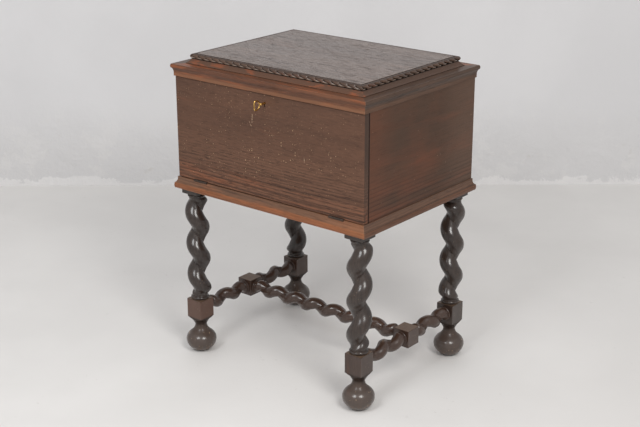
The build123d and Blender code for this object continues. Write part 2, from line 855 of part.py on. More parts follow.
# ------------------------------------------------------------------ fall front
flap = chamfer(
    slab(-half_width, half_width, front_y, flap_back_y, flap_bottom, flap_top).edges(), arris
)
for x in hinge_xs.values():
    half = hinge_length / 2 + fit
    flap -= slab(x - half, x + half, front_y - 1, leaf_back_y + fit, flap_bottom - 1, flap_leaf_z)
    flap -= knuckle_room(x - half, x + half)
flap -= slab(
    -lock_half - fit, lock_half + fit, lock_y, flap_back_y + 1, lock_bottom - fit, flap_top + 1
)
flap -= keyhole
for at, into in flap_hinge_nails + lock_nail_places + stay_flap_nails:
    flap -= nail(at, into, fit)
keep("fall_front", flap)

# ----------------------------------------------------------------------- stays
def burr(at, along):
    """Hammered square end of a riveted pin."""
    head = extrude(Rectangle(burr_side, burr_side), burr_thickness)
    return Plane(origin=at, z_dir=along) * head


rod_run = Vector(0, stay_case_y - stay_flap_y, stay_case_z - stay_flap_z).normalized()


def rod_block(pivot, start, end, deep, thick):
    """A block along a stay's rod between two distances from a pivot."""
    section = Plane(origin=pivot + rod_run * start, x_dir=(1, 0, 0), z_dir=rod_run)
    return extrude(section * Rectangle(thick, deep), end - start)


for side_name, side in (("left", -1), ("right", 1)):
    rod_x = side * (inner_half_width - stay_side_gap)
    flap_pivot = Vector(rod_x, stay_flap_y, stay_flap_z)
    case_pivot = Vector(rod_x, stay_case_y, stay_case_z)
    across = Vector(side, 0, 0)
    half_eye = stay_eye_thickness / 2
    half_plate = plate_width / 2
    half_side = stay_eye_side / 2

    tab_face = flap_pivot - across * (half_eye + sliding_fit)
    tab_back = tab_face - across * plate_thickness
    pin_head = flap_pivot + across * (half_eye + sliding_fit)
    lug = slab(
        rod_x - half_plate, rod_x + half_plate,
        flap_back_y, flap_back_y + plate_thickness,
        stay_flap_z - plate_height / 2, stay_flap_z + plate_height / 2,
    )
    lug += slab(
        min(tab_face.X, tab_back.X), max(tab_face.X, tab_back.X),
        flap_back_y, stay_flap_y + half_side,
        stay_flap_z - half_side, stay_flap_z + half_side,
    )
    lug += round_bar(tab_face, pin_head, stay_pin_radius)
    lug += burr(pin_head, across)
    plate = slab(
        *sorted((side * inner_half_width, side * (inner_half_width - plate_thickness))),
        stay_case_y - half_plate, stay_case_y + half_plate,
        stay_case_z - plate_height / 2, stay_case_z + plate_height / 2,
    )
    stub_end = case_pivot + across * (stay_side_gap + sliding_fit)
    plate -= round_bar(case_pivot, stub_end, stay_pin_radius + running_fit)
    for at, into in stay_flap_nails:
        lug -= nail(at, into, fit)
    for at, into in stay_case_nails:
        plate -= nail(at, into, fit)

    rod = rod_block(flap_pivot, -half_side, half_side, stay_eye_side, stay_eye_thickness)
    rod += rod_block(flap_pivot, 0, stay_rod_length, stay_rod_side, stay_rod_side)
    rod += rod_block(
        flap_pivot, stay_rod_length, stay_rod_length + stay_stop_length,
        stay_stop_side, stay_stop_side,
    )
    rod -= round_bar(tab_face, pin_head, stay_pin_radius + running_fit)

    half_swivel = swivel_side / 2
    way = stay_rod_side + 2 * rod_slide_fit
    swivel = rod_block(case_pivot, -half_swivel, half_swivel, swivel_side, swivel_thickness)
    swivel += round_bar(case_pivot + across * swivel_thickness / 2, stub_end, stay_pin_radius)
    swivel += burr(stub_end, across)
    swivel -= rod_block(case_pivot, -swivel_side, swivel_side, way, way)

    keep(f"stay_flap_lug_{side_name}", lug)
    keep(f"stay_rod_{side_name}", rod)
    keep(f"stay_swivel_{side_name}", swivel)
    keep(f"stay_case_plate_{side_name}", plate)
keep("stay_flap_nails", nails(stay_flap_nails))
keep("stay_case_nails", nails(stay_case_nails))
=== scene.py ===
"""Looks of the fall-front oak cabinet on its barley-twist stand.

Sizes and places are in millimetres, in the frame of the CAD model, and meshes
are set down in metres. +Z is up, the front faces -Y, and the origin is on the
floor. Only the room, and what a shader's node measures by itself, such as the
scale of a noise or the depth of a dent, are in metres.
"""

import bmesh
import bpy
from math import asin, cos, inf, pi, radians, sin
from mathutils import Matrix, Vector


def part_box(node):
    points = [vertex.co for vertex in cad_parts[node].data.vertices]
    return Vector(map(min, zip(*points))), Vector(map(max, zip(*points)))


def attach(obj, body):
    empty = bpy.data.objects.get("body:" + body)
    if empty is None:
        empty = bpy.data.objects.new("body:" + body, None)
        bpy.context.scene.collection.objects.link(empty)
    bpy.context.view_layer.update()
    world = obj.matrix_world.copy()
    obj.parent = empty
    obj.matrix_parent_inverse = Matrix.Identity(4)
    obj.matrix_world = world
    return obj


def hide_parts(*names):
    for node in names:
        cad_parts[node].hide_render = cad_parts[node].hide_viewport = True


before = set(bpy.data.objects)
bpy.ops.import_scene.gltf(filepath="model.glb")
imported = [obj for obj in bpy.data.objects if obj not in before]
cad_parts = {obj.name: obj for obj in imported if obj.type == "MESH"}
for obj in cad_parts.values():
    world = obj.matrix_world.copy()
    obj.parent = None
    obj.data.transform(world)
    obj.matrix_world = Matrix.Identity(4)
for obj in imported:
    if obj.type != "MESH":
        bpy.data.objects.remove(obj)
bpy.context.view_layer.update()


# ------------------------------------------------------------------ ball feet
# Four oak balls, turned with a flared neck and a spigot that is glued up into
# the leg. They are stained as dark as the legs, and scuffed pale near the floor.
X, Y, Z = range(3)             # parts of a vector, and ways of the grain
ROUND_SIDES = 72
BALL_RADIUS = 37.2
BALL_CENTRE = 30.0             # height of the ball's widest ring
BALL_RISE = 27.5               # half-height of the full ball above that ring
BALL_FALL = 31.0               # half-height below it, cut off by the floor
BALL_TOP = 49.0                # height where the neck's flare begins
BALL_ROWS = 34
NECK_RADIUS = 14.3
NECK_FLARE = 2.15              # power of the neck's hollow curve
NECK_ROWS = 12
CONE_HEIGHT = 15.0             # turned cone between the foot and the leg's block
CUT_HEIGHT = 5.5               # flatter cone that trims the block's lower corners
BLOCK_HEIGHT = 47.5


def bounds_of(node):
    """Lowest and highest corners of a CAD node at rest."""
    return [corner * 1000 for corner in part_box(node)]


FOOT_TOP = bounds_of("leg_front_left")[0].z
CONE_TOP = FOOT_TOP + CONE_HEIGHT
BLOCK_BOTTOM = CONE_TOP + CUT_HEIGHT
BLOCK_TOP = BLOCK_BOTTOM + BLOCK_HEIGHT


class Piece:
    """A piece in the making: its corners, and its faces."""

    def __init__(self):
        self.points = []
        self.faces = []

    def loft(self, rings, place=Matrix.Identity(4), capped=True):
        """Skin over closed rings of equal numbers of points, in order."""
        start = len(self.points)
        count = len(rings[0])
        for ring in rings:
            self.points.extend(place @ Vector(point) for point in ring)
        for row in range(len(rings) - 1):
            for k in range(count):
                low = start + row * count
                after = (k + 1) % count
                self.faces.append((low + k, low + after, low + count + after, low + count + k))
        if capped:
            last = start + (len(rings) - 1) * count
            self.faces.append(tuple(range(start, start + count)))
            self.faces.append(tuple(range(last, last + count)))

    def grid(self, rows):
        """Skin over open rows of points."""
        start = len(self.points)
        count = len(rows[0])
        for row in rows:
            self.points.extend(row)
        for j in range(len(rows) - 1):
            for k in range(count - 1):
                low = start + j * count + k
                self.faces.append((low, low + 1, low + count + 1, low + count))

    def make(self, name, material, body, slot, *nodes, sharp=32):
        """Set the piece down in metres, riding on its body in place of CAD nodes."""
        mesh = bpy.data.meshes.new(name)
        mesh.from_pydata([Vector(point) / 1000 for point in self.points], [], self.faces)
        work = bmesh.new()
        work.from_mesh(mesh)
        bmesh.ops.remove_doubles(work, verts=work.verts, dist=1e-6)
        bmesh.ops.recalc_face_normals(work, faces=work.faces)
        work.to_mesh(mesh)
        work.free()
        mesh.shade_smooth()
        mesh.set_sharp_from_angle(angle=radians(sharp))
        mesh.materials.append(material)
        made = bpy.data.objects.new(name, mesh)
        bpy.context.scene.collection.objects.link(made)
        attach(made, body)
        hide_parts(*nodes)


class Socket:
    """An output socket of a material's node, with plain arithmetic."""

    def __init__(self, finish, out):
        self.finish = finish
        self.out = out

    def math(self, operation, *others):
        values = {i: value for i, value in enumerate((self, *others))}
        return self.finish.node("ShaderNodeMath", {"operation": operation}, values)

    def reflected(self, operation, first):
        return self.finish.node("ShaderNodeMath", {"operation": operation}, {0: first, 1: self})

    def __add__(self, other):
        return self.math("ADD", other)

    def __sub__(self, other):
        return self.math("SUBTRACT", other)

    def __mul__(self, other):
        return self.math("MULTIPLY", other)

    def __truediv__(self, other):
        return self.math("DIVIDE", other)

    def __abs__(self):
        return self.math("ABSOLUTE")

    def __radd__(self, other):
        return self.reflected("ADD", other)

    def __rsub__(self, other):
        return self.reflected("SUBTRACT", other)

    def __rmul__(self, other):
        return self.reflected("MULTIPLY", other)

    def __rtruediv__(self, other):
        return self.reflected("DIVIDE", other)


class Finish:
    """One material in the making, round its Principled shader."""

    def __init__(self, name):
        self.material = bpy.data.materials.new(name)
        self.material.use_nodes = True
        self.tree = self.material.node_tree
        self.shader = self.tree.nodes["Principled BSDF"]
        self.place = self.node("ShaderNodeTexCoord", out="Object")
        self.x, self.y, self.z = [part * 1000 for part in self.split(self.place)]

    def node(self, kind, settings=None, values=None, out=0):
        """A node of that kind; its settings are set before its sockets."""
        made = self.tree.nodes.new(kind)
        for key, value in (settings or {}).items():
            setattr(made, key, value)
        for key, value in (values or {}).items():
            self.give(made.inputs[key], value)
        return Socket(self, made.outputs[out])

    def give(self, socket, value):
        """Link another node's output to a socket, or set a plain value on it."""
        if isinstance(value, Socket):
            self.tree.links.new(value.out, socket)
        else:
            socket.default_value = value

    def set(self, **values):
        """Sockets of the shader itself, with _ for a space in their names."""
        for key, value in values.items():
            self.give(self.shader.inputs[key.replace("_", " ")], value)

    def split(self, vector):
        return [self.node("ShaderNodeSeparateXYZ", {}, {0: vector}, k) for k in range(3)]

    def normal(self):
        """The way the surface faces, without its dents."""
        return self.node("ShaderNodeNewGeometry", out="Normal")

    def noise(self, place, scale, detail=3.0, roughness=0.55, distortion=0.0):
        values = {
            "Vector": place, "Scale": scale, "Detail": detail,
            "Roughness": roughness, "Distortion": distortion,
        }
        return self.node("ShaderNodeTexNoise", {}, values)

    def between(self, value, low, high, start=0.0, end=1.0):
        """value eased from start to end as it goes from low to high."""
        values = {"Value": value, "From Min": low, "From Max": high, "To Min": start, "To Max": end}
        return self.node("ShaderNodeMapRange", {"interpolation_type": "SMOOTHSTEP"}, values)

    def band(self, value, start, full, fade, end):
        """1 where value lies between full and fade, eased to 0 at start and end."""
        return self.between(value, start, full) * self.between(value, fade, end, 1.0, 0.0)

    def mix(self, first, second, share):
        return self.node("ShaderNodeMix", {"data_type": "RGBA"}, {0: share, 6: first, 7: second}, 2)

    def stretch(self, place, factors, shift):
        values = {0: place, 1: factors, 2: shift}
        return self.node("ShaderNodeVectorMath", {"operation": "MULTIPLY_ADD"}, values)

    def bump(self, height, strength, distance):
        values = {"Strength": strength, "Distance": distance, "Height": height}
        return self.node("ShaderNodeBump", {}, values, "Normal")

    def scatter(self, across, up, scale, share, size):
        """Round spots in a plane, in a share of its cells, scale cells to the millimetre."""
        flat = self.node("ShaderNodeCombineXYZ", {}, {0: across, 1: up})
        cells = {"Vector": flat, "Scale": scale}
        near = self.node("ShaderNodeTexVoronoi", {"voronoi_dimensions": "2D"}, cells, "Distance")
        cell = self.node("ShaderNodeTexVoronoi", {"voronoi_dimensions": "2D"}, cells, "Color")
        chance, big = self.split(cell)[:2]
        spot = self.between(near / ((big * 0.8 + 0.4) * size), 0.5, 1.0, 1.0, 0.0)
        return spot * self.between(chance, 1.0 - share, 1.01 - share)


def tone(red, green, blue):
    """A colour from its screen values of 0 to 255."""
    parts = []
    for part in (red, green, blue):
        share = part / 255
        parts.append(share / 12.92 if share <= 0.04045 else ((share + 0.055) / 1.055) ** 2.4)
    return (*parts, 1.0)


class Oak(Finish):
    """Stained and waxed oak with its grain along one axis.

    The stain drifts between three tones in long streaks. Growth rings are dark
    lines across, and open pores are fine dashes that also dent the surface.
    """

    RING_TONE = tone(26, 19, 17)
    PORE_TONE = tone(24, 18, 16)

    def __init__(self, name, along, seed, dark, middle, warm, warmth=(0.54, 0.72)):
        super().__init__(name)
        self.along = along
        self.shift = (seed, 0.7 * seed, 1.3 * seed)
        self.long = self.drawn(0.09)
        drift = self.noise(self.long, 14, 4, 0.6) * 0.6 + self.noise(self.long, 70, 5, 0.65) * 0.4
        self.colour = self.mix(dark, middle, self.between(drift, 0.38, 0.6))
        patch = self.noise(self.long, 22, 5, 0.6, 0.6)
        self.colour = self.mix(self.colour, warm, self.between(patch, *warmth))
        self.pits = self.between(self.noise(self.place, 60, 2), 0.3, 0.7) * 0.1

    def drawn(self, factor):
        """The place in the wood, drawn out along the grain."""
        factors = [1.0, 1.0, 1.0]
        factors[self.along] = factor
        return self.stretch(self.place, factors, self.shift)

    def tint(self, paint, share):
        self.colour = self.mix(self.colour, paint, share)

    def rings(self, across, spacing, warp, strength):
        """Dark lines of the growth rings, bent by the tree's waviness."""
        bend = self.noise(self.long, 7, 3, 0.5) * warp + self.noise(self.long, 30, 2) * (warp * 0.2)
        saw = (across / spacing + bend).math("FRACT")
        line = self.between(saw, 0.0, 0.45, 1.0, 0.0).math("MAXIMUM", self.between(saw, 0.88, 1.0))
        line = line * self.between(self.noise(self.long, 11, 2), 0.3, 0.6, 0.25, 1.0) * strength
        self.tint(self.RING_TONE, line)
        self.pits = self.pits + line * 0.4

    def pores(self, strength):
        """Open pores, dark with old wax."""
        dash = self.between(self.noise(self.drawn(0.045), 900, 2, 0.6), 0.5, 0.68) * strength
        self.tint(self.PORE_TONE, dash)
        self.pits = self.pits + dash * 0.8

    def strokes(self, scale, factor, strength, depth=0.7):
        """Short dark dashes of the coarse pores, wavy along the grain."""
        dash = self.noise(self.drawn(factor), scale, 2, 0.5, 0.4)
        dash = self.between(dash, 0.54, 0.66) * strength
        self.tint(self.RING_TONE, dash)
        self.pits = self.pits + dash * depth

    def wax(self, roughness, coat, coat_roughness, dent=0.25, specular=0.15):
        """Sheen of the wax, a little patchy, over the relief of the grain."""
        patchy = self.noise(self.long, 40, 4, 0.6)
        self.set(
            Base_Color=self.colour,
            Roughness=patchy * 0.25 + (roughness - 0.12),
            Specular_IOR_Level=specular,
            Coat_Weight=(1.0 - self.pits * 0.8).math("MAXIMUM", 0.0) * coat,
            Coat_Roughness=coat_roughness,
            Normal=self.bump(1.0 - self.pits, dent, 0.0008),
        )
        return self.material


def stand_oak(name, along, seed):
    """The dark oak of the whole stand, polished, and worn redder in places."""
    oak = Oak(
        name, along, seed,
        dark=tone(41, 32, 28), middle=tone(54, 43, 37), warm=tone(94, 54, 38), warmth=(0.6, 0.84),
    )
    oak.rings(oak.y if along == X else oak.x, spacing=6.0, warp=3.0, strength=0.2)
    oak.pores(0.3)
    oak.strokes(scale=380, factor=0.1, strength=0.35, depth=0.3)
    # The feet are painted paler, for dust and as painted light from the bright room
    # under the cabinet, and the square blocks are redder, most at the front left.
    oak.tint(tone(100, 86, 78), oak.between(oak.z, FOOT_TOP + 8.0, FOOT_TOP - 10.0) * 0.32)
    if along == Z:
        block = oak.band(oak.z, BLOCK_BOTTOM - 1.5, BLOCK_BOTTOM + 2.5, BLOCK_TOP - 2.0, BLOCK_TOP + 1.0)
        at_front = oak.between(oak.y, 100.0, -100.0, 0.4, 1.0)
        at_left = oak.between(oak.x, 100.0, -100.0, 0.08, 0.3)
        oak.tint(tone(124, 82, 62), block * at_front * at_left)
    else:
        oak.tint(tone(110, 74, 56), 0.15)
    # Scuffed near the floor, dusty on level faces, and never polished in the necks.
    scuff = oak.between(oak.z, BALL_CENTRE, 6.0) * oak.between(oak.noise(oak.place, 120, 4), 0.4, 0.65)
    dust = oak.between(oak.noise(oak.place, 300, 3), 0.3, 0.6, 0.5, 1.0)
    dust = dust * oak.between(oak.split(oak.normal())[Z], 0.97, 0.995)
    dull = scuff.math("MAXIMUM", dust)
    oak.tint(tone(112, 90, 72), dull * 0.6)
    neck = oak.band(oak.z, BALL_TOP - 3.0, BALL_TOP + 3.0, BLOCK_BOTTOM - 2.5, BLOCK_BOTTOM + 1.5)
    dull = dull.math("MAXIMUM", neck * 0.85)
    chips = oak.scatter(oak.x + oak.y, oak.z, scale=0.16, share=0.09, size=0.2)
    oak.tint(tone(176, 150, 120), chips * oak.between(oak.z, 120.0, 20.0, 0.25, 1.0) * 0.7)
    polish = (1.0 - dull * 0.8) * 0.95
    return oak.wax(roughness=0.4, coat=polish, coat_roughness=0.21, dent=0.06, specular=0.1)


leg_oak = stand_oak("Stand_oak_upright", along=Z, seed=3.1)


def ring(height, radius, sides=ROUND_SIDES):
    """A level circle of points about the Z axis."""
    turns = [2 * pi * k / sides for k in range(sides)]
    return [(radius * cos(turn), radius * sin(turn), height) for turn in turns]


def foot(corner, x, y):
    """One ball, flat on the floor, that narrows into its neck."""
    low = -asin(BALL_CENTRE / BALL_FALL)
    high = asin((BALL_TOP - BALL_CENTRE) / BALL_RISE)
    rings = []
    for row in range(BALL_ROWS + 1):
        angle = low + (high - low) * row / BALL_ROWS
        half_height = BALL_RISE if angle > 0 else BALL_FALL
        rings.append(ring(BALL_CENTRE + half_height * sin(angle), BALL_RADIUS * cos(angle)))
    flare = BALL_RADIUS * cos(high) - NECK_RADIUS
    for row in range(1, NECK_ROWS + 1):
        share = row / NECK_ROWS
        height = BALL_TOP + share * (FOOT_TOP - BALL_TOP)
        rings.append(ring(height, NECK_RADIUS + flare * (1 - share) ** NECK_FLARE))
    made = Piece()
    made.loft(rings, Matrix.Translation((x, y, 0)))
    made.make(f"Foot_{corner}", leg_oak, "cabinet", "stand_oak", f"foot_{corner}")


leg_axes = {}
for corner in ("front_left", "front_right", "back_left", "back_right"):
    low, high = bounds_of(f"foot_{corner}")
    leg_axes[corner] = ((low.x + high.x) / 2, (low.y + high.y) / 2)
    foot(corner, *leg_axes[corner])


# ----------------------------------------------------------------------- legs
# Four oak legs, each from one square: a pad tenoned into the base frame, a
# barley twist cut in mirror pairs, a turned collar, a block and a cone.
COLLAR_HEIGHT = 13.0
SHOULDER_HEIGHT = 11.0
PAD_HEIGHT = 13.8
BASE_BOTTOM = bounds_of("base_rail_front")[0].z
PAD_BOTTOM = BASE_BOTTOM - PAD_HEIGHT
TWIST_TOP = PAD_BOTTOM - SHOULDER_HEIGHT
TWIST_BOTTOM = BLOCK_TOP + COLLAR_HEIGHT
BLOCK_SIDE = 45.5
PAD_SIDE = 48.5
SOFT_CORNER = 0.5              # taken off the upright corners of blocks and pads
SOFT_EDGE = 0.6                # the same, off their level edges
CONE_STEPS = 8
CONE_CURVE = 1.25              # power of the cone's hollow curve
BEAD_STEPS = 8
# Places of points along a side of a square, from one corner to the next.
SIDE_STOPS = (-1, -0.97, -0.9, -0.75, -0.6, -0.4, -0.2, 0, 0.2, 0.4, 0.6, 0.75, 0.9, 0.97)
COLLAR_CORE = 18.8             # radius that the beads of collar and shoulder sit on
COLLAR_BEAD = 3.3
SHOULDER_BEAD = 2.8
LEG_TWIST = {
    "pitch": 80.3, "offset": 7.1, "across": 21.8, "along": 23.4, "neck": 19.0, "runout": 15.0,
}
TWIST_STEP = 1.5               # between slices of a strand
CREASE_WIDTH = 0.5             # radians to each side of the strand's inner line
CREASE_DEPTH = 0.16            # share of the strand's reach
CREASE_CURVE = 1.5


def strand(length, hand, azimuth, pitch, offset, across, along, neck, runout):
    """Rings of a barley twist up the Z axis, its crest at azimuth on top.

    The strand is an oval off the axis, with a crease cut along its inner side.
    It swells from a round neck at each end.
    """
    count = round(length / TWIST_STEP)
    rings = []
    for i in range(count + 1):
        z = length * i / count
        swell = sin(pi / 2 * min(z, length - z, runout) / runout)
        crest = radians(azimuth - hand * 360 * (length - z) / pitch)
        towards = Vector((cos(crest), sin(crest), 0))
        beside = Vector((-sin(crest), cos(crest), 0))
        wide = neck + (across - neck) * swell
        tall = neck + (along - neck) * swell
        points = []
        for k in range(ROUND_SIDES):
            angle = 2 * pi * k / ROUND_SIDES
            reach = towards * (offset * swell + wide * cos(angle)) + beside * (tall * sin(angle))
            crease = max(0.0, 1.0 - abs(angle - pi) / CREASE_WIDTH)
            reach *= 1.0 - CREASE_DEPTH * swell * crease ** CREASE_CURVE
            points.append((reach.x, reach.y, z))
        rings.append(points)
    return rings


def bead(height, radius, size):
    """Rings of a half-round bead on a turning."""
    rings = []
    for step in range(BEAD_STEPS + 1):
        angle = pi * (step / BEAD_STEPS - 0.5)
        rings.append(ring(height + size * sin(angle), radius + size * cos(angle)))
    return rings


def square(height, half, trim=inf):
    """A level square of points with softened corners, trimmed to a circle."""
    points = []
    for quarter in range(4):
        for stop in SIDE_STOPS:
            point = Vector((half, half * stop, 0))
            length = point.length - (SOFT_CORNER if stop == -1 else 0)
            point = point.normalized() * min(length, trim)
            point.rotate(Matrix.Rotation(quarter * pi / 2, 3, "Z"))
            points.append((point.x, point.y, height))
    return points


def leg(corner, hand, azimuth):
    """One leg, from the joint with its foot up to the base frame.

    Under the block a hollow cone widens to its sides, and a flatter one cuts
    off its lower corners.
    """
    place = Matrix.Translation((*leg_axes[corner], 0))
    half = BLOCK_SIDE / 2
    half_diagonal = half * 2 ** 0.5
    made = Piece()
    cone = []
    cut = []
    for step in range(CONE_STEPS + 1):
        share = step / CONE_STEPS
        radius = NECK_RADIUS + (half - NECK_RADIUS) * share ** CONE_CURVE
        cone.append(square(FOOT_TOP + share * (CONE_TOP - FOOT_TOP), half, radius))
        radius = half + (half_diagonal - half) * share
        cut.append(square(CONE_TOP + share * (BLOCK_BOTTOM - CONE_TOP), half, radius))
    block = [square(BLOCK_TOP - SOFT_EDGE, half), square(BLOCK_TOP, half - SOFT_EDGE)]
    made.loft(cone + cut[1:] + block, place)

    neck = LEG_TWIST["neck"]
    collar = [ring(BLOCK_TOP, neck), ring(BLOCK_TOP + 1.5, neck)]
    collar += bead(BLOCK_TOP + 5.0, COLLAR_CORE, COLLAR_BEAD)
    collar += [ring(BLOCK_TOP + 9.5, 18.2), ring(TWIST_BOTTOM, neck)]
    made.loft(collar, place)
    twist = strand(TWIST_TOP - TWIST_BOTTOM, hand, azimuth, **LEG_TWIST)
    made.loft(twist, place @ Matrix.Translation((0, 0, TWIST_BOTTOM)))
    shoulder = [ring(TWIST_TOP, neck), ring(TWIST_TOP + 2.0, 18.6)]
    shoulder += bead(PAD_BOTTOM - 5.6, COLLAR_CORE, SHOULDER_BEAD)
    shoulder += [ring(PAD_BOTTOM - 1.6, 19.6), ring(PAD_BOTTOM, 21.0)]
    made.loft(shoulder, place)

    half = PAD_SIDE / 2
    pad = [square(PAD_BOTTOM, half - SOFT_EDGE), square(PAD_BOTTOM + SOFT_EDGE, half)]
    made.loft(pad + [square(BASE_BOTTOM, half)], place)
    made.make(f"Leg_{corner}", leg_oak, "cabinet", "stand_oak", f"leg_{corner}")


leg("front_left", hand=-1, azimuth=59.4)
leg("front_right", hand=1, azimuth=120.6)
leg("back_left", hand=1, azimuth=287.4)
leg("back_right", hand=-1, azimuth=252.6)


# ----------------------------------------------------------------- stretchers
# An H of three oak bars, twisted between turned rings. The side bars are
# tenoned into the leg blocks and the centre bar into the side bars' blocks.
low, high = bounds_of("side_stretcher_left")
STRETCHER_BLOCK = high.z - low.z
STRETCHER_Z = (low.z + high.z) / 2
STRETCHER_MIDDLE_Y = (low.y + high.y) / 2
STRETCHER_SOFT_EDGE = 0.8
BAR_TWIST = {
    "pitch": 61.0, "offset": 4.8, "across": 14.6, "along": 15.8, "neck": 13.0, "runout": 8.0,
}
BAR_END = 7.0                  # length of the turned rings at each end
BAR_CORE = 13.6                # radius between those rings

side_bar_oak = stand_oak("Stand_oak_sides", along=Y, seed=7.7)
centre_bar_oak = stand_oak("Stand_oak_centre", along=X, seed=5.2)


def twisted_bar(made, place, length, hand, azimuth):
    """A stretcher's twist up the Z axis of place, between its turned ends."""
    end = [ring(0.0, 15.0)] + bead(2.0, 15.6, 1.9) + [ring(4.1, BAR_CORE)]
    end += bead(5.3, BAR_CORE, 1.1) + [ring(BAR_END, BAR_TWIST["neck"])]
    made.loft(end, place)
    made.loft([[(px, py, length - pz) for px, py, pz in points] for points in end], place)
    twist = strand(length - 2 * BAR_END, hand, azimuth, **BAR_TWIST)
    made.loft(twist, place @ Matrix.Translation((0, 0, BAR_END)))


half = STRETCHER_BLOCK / 2
edge = half - STRETCHER_SOFT_EDGE
for side, sign, front_crest, back_crest in (("left", -1, 272, 64), ("right", 1, 260, 79)):
    x, front_y = leg_axes[f"front_{side}"]
    back_y = leg_axes[f"back_{side}"][Y]
    length = STRETCHER_MIDDLE_Y - half - (front_y + BLOCK_SIDE / 2)
    made = Piece()
    place = Matrix.Translation((x, front_y + BLOCK_SIDE / 2, STRETCHER_Z))
    twisted_bar(made, place @ Matrix.Rotation(-pi / 2, 4, "X"), length, -sign, front_crest)
    place = Matrix.Translation((x, back_y - BLOCK_SIDE / 2, STRETCHER_Z))
    twisted_bar(made, place @ Matrix.Rotation(pi / 2, 4, "X"), length, sign, back_crest)
    block = [square(-half, edge), square(-edge, half), square(edge, half), square(half, edge)]
    made.loft(block, Matrix.Translation((x, STRETCHER_MIDDLE_Y, STRETCHER_Z)))
    node = f"side_stretcher_{side}"
    made.make(node.capitalize(), side_bar_oak, "cabinet", "stand_oak", node)

centre_half = leg_axes["front_right"][X] - half
place = Matrix.Translation((-centre_half, STRETCHER_MIDDLE_Y, STRETCHER_Z))
made = Piece()
twisted_bar(made, place @ Matrix.Rotation(pi / 2, 4, "Y"), 2 * centre_half, hand=-1, azimuth=150)
made.make("Centre_stretcher", centre_bar_oak, "cabinet", "stand_oak", "centre_stretcher")


# ----------------------------------------------------- base frame and cornice
# Two frames of moulded oak rails, mitred and glued at the corners. The base
# carries the boards of the case, and the cornice closes it above.
BASE_NOSE_TOP = BASE_BOTTOM + 13.0
CORNICE_FILLET_TOP = bounds_of("cornice_front")[0].z + 8.5


def paint(nodes, material, slot):
    """Give CAD nodes their material."""
    for name in nodes:
        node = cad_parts[name]
        node.data.materials.clear()
        node.data.materials.append(material)


def moulding_oak(name, along, seed, dark, middle, warm):
    """Redder oak of the rails, rubbed pale along its arrises, with a painted highlight there too."""
    oak = Oak(name, along, seed, dark, middle, warm, warmth=(0.53, 0.76))
    at_front = along == X
    streak = oak.between(oak.noise(oak.drawn(0.1), 95, 4, 0.6, 0.3), 0.5, 0.64)
    oak.tint(warm, streak * 0.5)
    smoke = oak.between(oak.noise(oak.drawn(0.08), 75, 4, 0.6), 0.5, 0.66)
    oak.tint(tone(58, 42, 34), smoke * 0.4)
    # The base's hollow is painted grey and its nose warm, painted shade and painted
    # light that bring out its profile; the nose is warmer still at the right.
    hollow = oak.band(oak.z, BASE_NOSE_TOP + 0.2, BASE_NOSE_TOP + 3.2, 455.0, 460.0)
    oak.tint(tone(112, 84, 68), hollow * 0.35)
    nose_painted_light = oak.between(oak.z, BASE_NOSE_TOP + 0.7, BASE_NOSE_TOP - 1.8)
    oak.tint(tone(148, 86, 50), nose_painted_light * (0.35 if at_front else 0.15))
    right_end = oak.between(oak.x, 100.0, 270.0) * oak.between(oak.z, 460.0, 450.0)
    oak.tint(tone(154, 96, 60), right_end * (0.28 if at_front else 0.05))
    oak.rings(oak.z, spacing=6.0, warp=3.0, strength=0.25)
    oak.strokes(scale=420, factor=0.1, strength=0.25)
    oak.strokes(scale=170, factor=0.05, strength=0.22)
    # The cornice's lowest step is painted brighter than its hollow, most on the front.
    fillet = oak.band(oak.z, 600.0, 650.0, CORNICE_FILLET_TOP - 1.3, CORNICE_FILLET_TOP + 0.7)
    oak.tint(tone(128, 90, 66), fillet * (0.45 if at_front else 0.15))
    # Pale paint on the arrises: wear, and a painted highlight along the edges.
    rounded = oak.node("ShaderNodeBevel", {"samples": 4}, {"Radius": 0.0012})
    both = {0: rounded, 1: oak.normal()}
    alike = oak.node("ShaderNodeVectorMath", {"operation": "DOT_PRODUCT"}, both, "Value")
    broken = oak.between(oak.noise(oak.long, 90, 4), 0.4, 0.6)
    oak.tint(tone(136, 106, 86), oak.between(alike, 0.97, 0.8) * broken * 0.6)
    return oak.wax(roughness=0.42, coat=0.2, coat_roughness=0.25)


cornice_tones = (tone(92, 60, 45), tone(108, 71, 51), tone(144, 82, 50))
base_tones = (tone(96, 68, 50), tone(110, 77, 57), tone(144, 88, 56))
# The side rails take darker tones as painted shade, for the sides that the lamps light less than the
# front.
side_tones_painted_shade = (tone(72, 56, 47), tone(76, 59, 49), tone(84, 62, 49))
cornice_oak = moulding_oak("Cornice_oak", X, 1.7, *cornice_tones)
base_oak = moulding_oak("Base_oak", X, 2.9, *base_tones)
side_rail_oak_painted_shade = moulding_oak("Side_rail_oak_painted_shade", Y, 4.4, *side_tones_painted_shade)
paint(["cornice_front", "cornice_back"], cornice_oak, "moulding_oak")
paint(["base_rail_front", "base_rail_back"], base_oak, "moulding_oak")
paint(["cornice_left", "cornice_right"], side_rail_oak_painted_shade, "moulding_oak")
paint(["base_rail_left", "base_rail_right"], side_rail_oak_painted_shade, "moulding_oak")


# --------------------------------------------------------------- case boards
# Two oak sides glued up between base and cornice, a thin back, and inside
# boards let into the frames as floor and ceiling. Inside, the oak is bare.
SIDE_FRONT_Y = bounds_of("side_panel_right")[0].y


def bare_inside(oak):
    """Unstained wood on the faces that look into the case."""
    side_x = bounds_of("side_panel_right")[0].x
    front_y = bounds_of("fall_front")[1].y
    back_y = bounds_of("back_panel")[0].y
    inside = oak.between(abs(oak.x), side_x + 0.6, side_x + 0.2)
    inside = inside * oak.between(oak.y, front_y - 0.8, front_y - 0.4)
    inside = inside * oak.between(oak.y, back_y + 0.7, back_y + 0.3)
    bands = oak.between(oak.noise(oak.long, 40, 5, 0.6), 0.35, 0.65)
    oak.tint(oak.mix(tone(112, 84, 58), tone(146, 114, 80), bands), inside * 0.85)
    return inside


